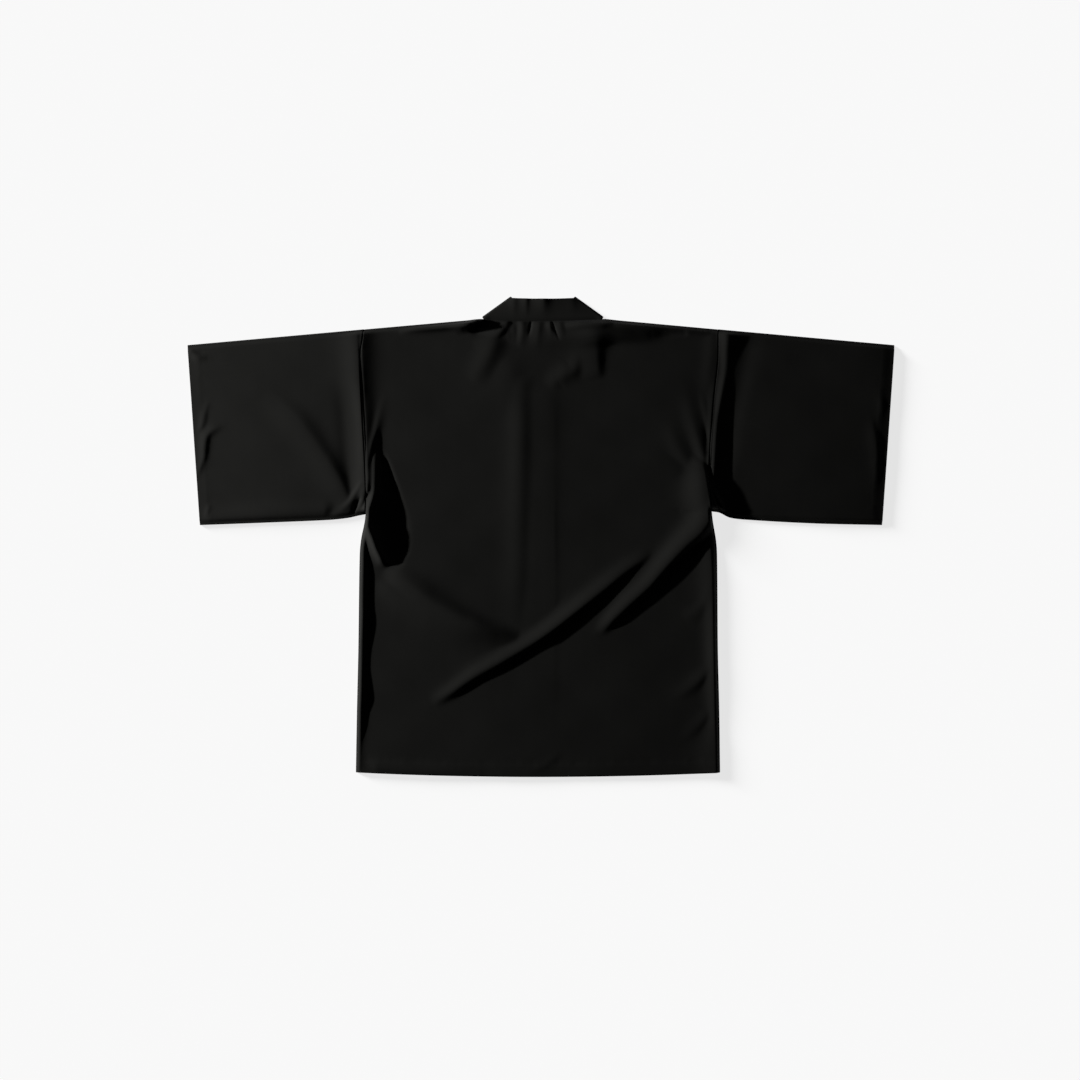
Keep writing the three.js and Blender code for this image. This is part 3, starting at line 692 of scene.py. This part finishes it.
def make_back(material):
    width = 2 * SHOULDER_END_X
    height = SHOULDER_END_Y - HEM_SIDE_Y
    to_gathers = width / 2 - GATHER_HALF - sum(size for size, _ in EDGE_ZONES)
    plain = [(to_gathers, PLAIN_STEP)]
    fine = [(2 * GATHER_HALF, GATHER_STEP)]
    across = even_steps(positions(EDGE_ZONES + plain + fine + plain + EDGE_ZONES[::-1])) / width
    down = even_steps(edged(height, TURN_ZONE, [(GATHER_DEPTH, GATHER_STEP)])) / height
    across = padded_edges(across, 0, 1)
    down = padded_edges(down, 0, 1)
    u, v = np.meshgrid(across, down)
    side_y = mix(SHOULDER_END_Y, HEM_SIDE_Y, v)
    left = body_side(-1, side_y) + CLOTH
    right = body_side(1, side_y) - CLOTH
    x = mix(left, right, u)
    top = top_edge(mix(-SHOULDER_END_X, SHOULDER_END_X, u)) - CLOTH
    y = mix(top, hem_edge(x) + CLOTH, v)
    beside_seam = 1 - SEAM_SHARE * smooth(y, *UNDERARM_BLEND)
    sink = np.maximum(sink_amounts(len(across))[None, :] * beside_seam,
                      sink_amounts(len(down))[:, None])
    z = np.maximum(back_underside(x, y) - sink, LOWEST_EDGE)
    under = np.stack([x, y, z], -1)
    outside = under + grid_normals(spread_sinks(under), False) * CLOTH
    inside = np.stack([x, y, lowest_around(z)], -1)[::2, ::2]
    piece = wall_mesh("back_cloth", outside, inside, False, material, skip=2)
    place(piece, "back")
    return piece


def spread_sinks(points):
    """The same points with the sunk rows and columns moved out, so that each has a normal."""
    moved = points.copy()
    for index, shift in enumerate(SINK_SHIFTS):
        moved[index, :, 1] += shift
        moved[-1 - index, :, 1] -= shift
        moved[:, index, 0] -= shift
        moved[:, -1 - index, 0] += shift
    return moved


def sleeve_ring():
    """Round the hollow: how far up each point is, its angle, and whether it is in a flat layer."""
    radius = SLEEVE_EDGE_ROOM / 2
    depth = SHOULDER_END_Y - SLEEVE_LOW_ROWS[0].left - 2 * (CLOTH + radius)
    upper = edged(depth) / depth
    under = positions([(depth, SLEEVE_UNDER_STEP)]) / depth
    turn = np.linspace(-math.pi / 2, math.pi / 2, SLEEVE_TURN_POINTS)[1:-1]
    share = np.concatenate([under, np.ones_like(turn), 1 - upper, np.zeros_like(turn)])
    angle = np.concatenate([np.full_like(under, -math.pi / 2), turn,
                            np.full_like(upper, math.pi / 2), turn + math.pi])
    counts = [len(under), len(turn), len(upper), len(turn)]
    is_upper = np.repeat([False, False, True, False], counts)
    is_under = np.repeat([True, False, False, False], counts)
    return share, angle, is_upper, is_under


def make_sleeve(side, name, node, material):
    radius = SLEEVE_EDGE_ROOM / 2
    inset = CLOTH + radius
    column = "left" if side < 0 else "right"
    length = CUFF_TOP_X - SHOULDER_END_X
    along = edged(length, TURN_ZONE) / length
    along = np.concatenate([[0, 0], along])
    share, angle, is_upper, is_under = sleeve_ring()
    s, f = np.meshgrid(along, share, indexing="ij")
    turn = np.broadcast_to(angle, s.shape)
    low = table_curve(SLEEVE_LOW_ROWS, "along", column, s) + inset
    high = mix(SHOULDER_END_Y, CUFF_TOP_Y, s) - inset
    y = mix(low, high, f) + radius * np.cos(turn)
    y_armhole = mix(table_curve(SLEEVE_LOW_ROWS, "along", column, 0.0), SHOULDER_END_Y, f)
    layer = (1 + np.sin(turn)) / 2
    armhole_x = body_side(side, y_armhole)
    armhole_x = armhole_x + side * mix(-ARMHOLE_TUCK, CLOTH + ARMHOLE_ROOM, layer)
    cuff_x = side * mix(CUFF_LOW_X, CUFF_TOP_X, f)
    x = mix(armhole_x, cuff_x, s)
    z = CLOTH + radius + radius * np.sin(turn)
    from_edges = smooth(y - low, 0, FOLD_RISE) * smooth(high - y, 0, FOLD_RISE)
    to_cuff = np.abs(cuff_x - x)
    from_cuff = mix(CUFF_SHARE, 1, smooth(to_cuff, 0, CUFF_RISE))
    seam = pucker(np.abs(x - armhole_x), y, SEAM_PUCKER_REACH)
    rise = above_the_layer_below(LAYER_ROOM - SLEEVE_EDGE_ROOM + relief(x, y) + seam)
    sinks = np.zeros_like(s)
    sinks[:2] = (1 - SEAM_SHARE) * np.array(SINKS)[:, None]
    upper = (rise * from_cuff + turned_edge(to_cuff, y, CUFF_TURN)) * from_edges
    z = z + is_upper * (upper - sinks * from_edges)
    inside = np.stack([x, y, z], -1)
    shaped = inside.copy()
    for index, shift in enumerate(SINK_SHIFTS):
        shaped[index, :, 0] -= side * shift
    normals = grid_normals(shaped, True) * -side
    normals[:, is_under] = (0, 0, -1)
    normals[:2, ~is_upper, 0] = 0
    normals[-1, :, 0] = 0
    normals /= np.linalg.norm(normals, axis=2, keepdims=True)
    outside = inside + normals * CLOTH
    piece = wall_mesh(name, outside, inside, True, material)
    place(piece, node)
    return piece


def front_edge(side, y):
    down = (ROLL_SEAM_Y - y) / (ROLL_SEAM_Y - FRONT_HEM_Y)
    return mix(NECK_CENTRE_X + side * ROLL_SEAM_HALF, side * BAND_HEM_HALF, down)


def make_front(side, name, node, material):
    height = SHOULDER_END_Y - FRONT_HEM_Y
    down = edged(height, TURN_ZONE) / height
    across = positions([(1, FRONT_ACROSS_STEP)])
    u, v = np.meshgrid(across, down)
    y_side = mix(SHOULDER_END_Y, FRONT_HEM_Y, v)
    y_inner = mix(NECK_Y, FRONT_HEM_Y, v)
    outer_x = body_side(side, y_side) - side * FRONT_SIDE_INSET
    inner_x = front_edge(side, y_inner) + side * FRONT_COLLAR_INSET
    x = mix(outer_x, inner_x, u)
    y = mix(y_side, y_inner, u) - FRONT_SIDE_INSET * (1 - v)
    under = np.stack([x, y, np.zeros_like(x)], -1)
    over = under + np.array([0, 0, CLOTH])
    piece = wall_mesh(name, under, over, False, material)
    place(piece, node)
    return piece


def band_path():
    """Seam edge and free edge of the collar strip, on the middle of its thickness."""
    seam = []
    free = []

    def front(side, down):
        y = mix(ROLL_SEAM_Y, FRONT_HEM_Y, down)
        free_y = mix(ROLL_FREE_Y, FRONT_HEM_Y, down)
        ease = math.exp(-(ROLL_FREE_Y - free_y) / ROLL_EASE_LENGTH)
        settled = front_edge(side, free_y) - side * BAND_WIDTH
        seam.append((front_edge(side, y), y, BAND / 2))
        free.append((mix(settled, NECK_CENTRE_X + side * ROLL_FREE_HALF, ease), free_y, BAND / 2))

    def roll(side, share):
        seam_end = np.array([NECK_CENTRE_X + side * ROLL_SEAM_HALF, ROLL_SEAM_Y, 0])
        free_end = np.array([NECK_CENTRE_X + side * ROLL_FREE_HALF, ROLL_FREE_Y, 0])
        crease = (free_end - seam_end) / np.linalg.norm(free_end - seam_end)
        turn = math.pi * (share - 0.5)
        away = np.array([side * abs(crease[1]), abs(crease[0]), 0])
        shift = away * ROLL_RADIUS * math.cos(turn)
        shift[2] = BAND / 2 + ROLL_RADIUS * (1 + math.sin(turn))
        seam.append(tuple(seam_end + shift))
        free.append(tuple(free_end + shift))

    def neck(share):
        across = 2 * share - 1
        bow = 1 - across ** 2
        seam_x = NECK_CENTRE_X + across * ROLL_SEAM_HALF
        seam_y = float(top_edge(np.array(seam_x))) + NECK_SEAM_ROOM
        if abs(across) == 1:
            seam_y = ROLL_SEAM_Y
        seam.append((seam_x, seam_y, NECK_BAND_Z))
        free.append((NECK_CENTRE_X + across * ROLL_FREE_HALF, ROLL_FREE_Y - FREE_EDGE_DIP * bow,
                     NECK_BAND_Z + FREE_EDGE_LIFT * bow))

    front_steps = np.linspace(0, 1, FRONT_STATIONS)
    roll_steps = np.linspace(0, 1, ROLL_STATIONS)
    for down in front_steps[:0:-1]:
        front(-1, down)
    for share in roll_steps[:-1]:
        roll(-1, share)
    for share in np.linspace(0, 1, NECK_STATIONS):
        neck(share)
    for share in roll_steps[-2::-1]:
        roll(1, share)
    for down in front_steps[1:]:
        front(1, down)
    return np.array(seam), np.array(free)


def wrinkle_height(x):
    total = np.zeros_like(x)
    for wrinkle in COLLAR_WRINKLES:
        width = np.where(x < wrinkle.x, wrinkle.left, wrinkle.right)
        total += wrinkle.height * np.exp(-np.abs((x - wrinkle.x) / width) ** WRINKLE_SHARPNESS)
    return total


def make_collar(material):
    seam, free = band_path()
    plain = BAND_WIDTH - 2 * sum(size for size, _ in BAND_ROUNDING)
    places = positions(BAND_ROUNDING + [(plain, PLAIN_STEP)] + BAND_ROUNDING[::-1])
    share = places / places[-1]
    middle = (seam[:, None, :] * (1 - share)[None, :, None]
              + free[:, None, :] * share[None, :, None])
    on_neck = smooth(seam[:, 2], NECK_BAND_Z - 1, NECK_BAND_Z)[:, None]
    from_corner = ROLL_SEAM_HALF - np.abs(seam[:, 0] - NECK_CENTRE_X)
    off_corner = smooth(from_corner, 0, TUCK_CORNER)[:, None]
    tuck = np.exp(-(places / TUCK_BEND) ** 2)[None, :] * on_neck * off_corner
    middle[:, :, 1] -= TUCK_LENGTH * tuck
    middle[:, :, 2] -= TUCK_DROP * tuck
    middle[:, :, 2] += wrinkle_height(middle[:, :, 0]) * share[None, :] ** WRINKLE_FADE * on_neck
    to_edge = np.minimum(places, places[-1] - places)
    half = BAND / 2
    reach = np.minimum(to_edge, half)
    thickness = np.sqrt(np.maximum(half ** 2 - (half - reach) ** 2, BAND_EDGE_THICKNESS ** 2))
    normals = grid_normals(middle, False)
    outside = middle + normals * thickness[None, :, None]
    inside = middle - normals * thickness[None, :, None]
    piece = wall_mesh("collar_band", outside, inside, False, material)
    place(piece, "collar")
    return piece


# Materials, with linear colours. Clouds vary the cloth's tone and roughness, and two sets of
# threads across each other make the weave's relief
DARK_CLOTH = (0.0187, 0.0186, 0.0173)
LIGHT_CLOTH = (0.0217, 0.0216, 0.0201)
# The collar's copy of the cloth is painted lighter by this factor. It is painted light for the
# brighter light that the collar catches, not a colour of its own
COLLAR_PAINTED_LIGHT = 1.14
CLOTH_ROUGHNESS = (0.72, 0.86)
CLOTH_SPECULAR = 0.02
SHEEN = 0.05
SHEEN_ROUGHNESS = 0.5
SHEEN_TINT = (0.25, 0.25, 0.26, 1)
CLOUD_SCALE = 9
CLOUD_DETAIL = 4
CLOUD_RANGE = (0.3, 0.7)
THREAD_SCALE = 160
THREAD_DISTORTION = 0.6
THREAD_DETAIL = 1
THREAD_DETAIL_SCALE = 1.5
WEAVE_STRENGTH = 0.25
WEAVE_HEIGHT = 0.0002
FLOOR_GREY = 0.8
FLOOR_GLOW = 0.765


# A colour scaled by a factor of painted light: 1 for the body's cloth, and lighter for the collar's
# painted copy
def with_painted_light(colour, painted_light):
    return (*(channel * painted_light for channel in colour), 1)


def cloth_material(name, painted_light):
    material = bpy.data.materials.new(name)
    material.use_nodes = True
    nodes = material.node_tree.nodes
    links = material.node_tree.links
    shader = nodes["Principled BSDF"]
    shader.inputs["Specular IOR Level"].default_value = CLOTH_SPECULAR
    shader.inputs["Sheen Weight"].default_value = SHEEN
    shader.inputs["Sheen Roughness"].default_value = SHEEN_ROUGHNESS
    shader.inputs["Sheen Tint"].default_value = SHEEN_TINT
    coordinates = nodes.new("ShaderNodeTexCoord")

    cloudy = nodes.new("ShaderNodeTexNoise")
    cloudy.inputs["Scale"].default_value = CLOUD_SCALE
    cloudy.inputs["Detail"].default_value = CLOUD_DETAIL
    links.new(coordinates.outputs["Object"], cloudy.inputs["Vector"])
    colour = nodes.new("ShaderNodeValToRGB")
    colour.color_ramp.elements[0].position = CLOUD_RANGE[0]
    colour.color_ramp.elements[0].color = with_painted_light(DARK_CLOTH, painted_light)
    colour.color_ramp.elements[1].position = CLOUD_RANGE[1]
    colour.color_ramp.elements[1].color = with_painted_light(LIGHT_CLOTH, painted_light)
    links.new(cloudy.outputs["Fac"], colour.inputs["Fac"])
    links.new(colour.outputs["Color"], shader.inputs["Base Color"])

    rough = nodes.new("ShaderNodeMapRange")
    rough.inputs["To Min"].default_value = CLOTH_ROUGHNESS[0]
    rough.inputs["To Max"].default_value = CLOTH_ROUGHNESS[1]
    links.new(cloudy.outputs["Fac"], rough.inputs["Value"])
    links.new(rough.outputs["Result"], shader.inputs["Roughness"])

    threads = []
    for direction in ("X", "Y"):
        thread = nodes.new("ShaderNodeTexWave")
        thread.bands_direction = direction
        thread.inputs["Scale"].default_value = THREAD_SCALE
        thread.inputs["Distortion"].default_value = THREAD_DISTORTION
        thread.inputs["Detail"].default_value = THREAD_DETAIL
        thread.inputs["Detail Scale"].default_value = THREAD_DETAIL_SCALE
        links.new(coordinates.outputs["Object"], thread.inputs["Vector"])
        threads.append(thread)
    weave = nodes.new("ShaderNodeMath")
    weave.operation = "MULTIPLY"
    links.new(threads[0].outputs["Fac"], weave.inputs[0])
    links.new(threads[1].outputs["Fac"], weave.inputs[1])
    bump = nodes.new("ShaderNodeBump")
    bump.inputs["Strength"].default_value = WEAVE_STRENGTH
    bump.inputs["Distance"].default_value = WEAVE_HEIGHT
    links.new(weave.outputs["Value"], bump.inputs["Height"])
    links.new(bump.outputs["Normal"], shader.inputs["Normal"])
    return material


def floor_material():
    material = bpy.data.materials.new("pale floor")
    material.use_nodes = True
    nodes = material.node_tree.nodes
    links = material.node_tree.links
    nodes.remove(nodes["Principled BSDF"])
    diffuse = nodes.new("ShaderNodeBsdfDiffuse")
    diffuse.inputs["Color"].default_value = (FLOOR_GREY, FLOOR_GREY, FLOOR_GREY, 1)
    glow = nodes.new("ShaderNodeEmission")
    glow.inputs["Color"].default_value = (1, 1, 1, 1)
    glow.inputs["Strength"].default_value = FLOOR_GLOW
    both = nodes.new("ShaderNodeAddShader")
    links.new(diffuse.outputs["BSDF"], both.inputs[0])
    links.new(glow.outputs["Emission"], both.inputs[1])
    links.new(both.outputs["Shader"], nodes["Material Output"].inputs["Surface"])
    return material


# Studio, in metres, with the lens and sensor in millimetres, powers in watts and the sun's angle
# in degrees. The view's width is what the camera sees on the floor. The key and fill light the
# garment alone, and the sun only the floor
VIEW_WIDTH = 1.987
VIEW_CENTRE = (-0.0018, -0.0064)
LENS = 85.0
SENSOR = 36.0
FARTHEST_SEEN = 50
FLOOR_HALF = 60.0
TARGET = (0, 0, 0)
KEY_PLACE = (-2.52, 0.54, 0.52)
KEY_SIZE = (0.25, 0.06)
KEY_POWER = 99
FILL_PLACE = (0.3, 1.7, 0.45)
FILL_SIZE = 0.5
FILL_POWER = 1.2
SUN_PLACE = (-2.0, 1.2, 0.55)
SUN_ANGLE = 16
SUN_STRENGTH = 2.95
WORLD_STRENGTH = 0.004


def make_camera():
    data = bpy.data.cameras.new("camera")
    data.lens = LENS
    data.sensor_width = SENSOR
    data.clip_end = FARTHEST_SEEN
    camera = bpy.data.objects.new("camera", data)
    camera.location = (*VIEW_CENTRE, VIEW_WIDTH * LENS / SENSOR)
    bpy.context.scene.collection.objects.link(camera)
    bpy.context.scene.camera = camera


def make_floor():
    mesh = bpy.data.meshes.new("floor")
    corners = [(x * FLOOR_HALF, y * FLOOR_HALF, 0) for x, y in ((-1, -1), (1, -1), (1, 1), (-1, 1))]
    mesh.from_pydata(corners, [], [(0, 1, 2, 3)])
    mesh.materials.append(floor_material())
    floor = bpy.data.objects.new("floor", mesh)
    bpy.context.scene.collection.objects.link(floor)
    return floor


def aim(lamp, place_m, target_m):
    lamp.location = place_m
    direction = np.array(target_m) - np.array(place_m)
    yaw = math.atan2(direction[1], direction[0])
    pitch = math.atan2(math.hypot(direction[0], direction[1]), -direction[2])
    lamp.rotation_euler = (pitch, 0, yaw - math.pi / 2)


def collection_of(name, objects):
    collection = bpy.data.collections.new(name)
    for one in objects:
        collection.objects.link(one)
    return collection


def make_lamp(name, kind, place_m, receivers):
    """Data of a new lamp that is aimed at the garment and lights only what is in receivers."""
    data = bpy.data.lights.new(name, kind)
    lamp = bpy.data.objects.new(name, data)
    aim(lamp, place_m, TARGET)
    bpy.context.scene.collection.objects.link(lamp)
    lamp.light_linking.receiver_collection = receivers
    return data


def make_lights(garment, floor):
    lit_garment = collection_of("lit garment", garment)
    key = make_lamp("key", "AREA", KEY_PLACE, lit_garment)
    key.shape = "RECTANGLE"
    key.size, key.size_y = KEY_SIZE
    key.energy = KEY_POWER

    fill = make_lamp("fill", "AREA", FILL_PLACE, lit_garment)
    fill.size = FILL_SIZE
    fill.energy = FILL_POWER

    sun = make_lamp("shadow sun", "SUN", SUN_PLACE, collection_of("lit floor", [floor]))
    sun.energy = SUN_STRENGTH
    sun.angle = math.radians(SUN_ANGLE)

    world = bpy.data.worlds.new("world")
    world.use_nodes = True
    background = world.node_tree.nodes["Background"]
    background.inputs["Color"].default_value = (1, 1, 1, 1)
    background.inputs["Strength"].default_value = WORLD_STRENGTH
    bpy.context.scene.world = world


cloth = cloth_material("black cloth", 1)
# The collar gets a copy of the cloth painted lighter, standing in for the light that falls on it
collar_cloth_painted_light = cloth_material("black collar cloth, painted lighter", COLLAR_PAINTED_LIGHT)
garment = [
    make_back(cloth),
    make_sleeve(-1, "sleeve_left_cloth", "sleeve_left", cloth),
    make_sleeve(1, "sleeve_right_cloth", "sleeve_right", cloth),
    make_front(-1, "front_left_cloth", "front_left", cloth),
    make_front(1, "front_right_cloth", "front_right", cloth),
    make_collar(collar_cloth_painted_light),
]
floor = make_floor()
make_camera()
make_lights(garment, floor)
bpy.context.scene.view_settings.view_transform = "Standard"
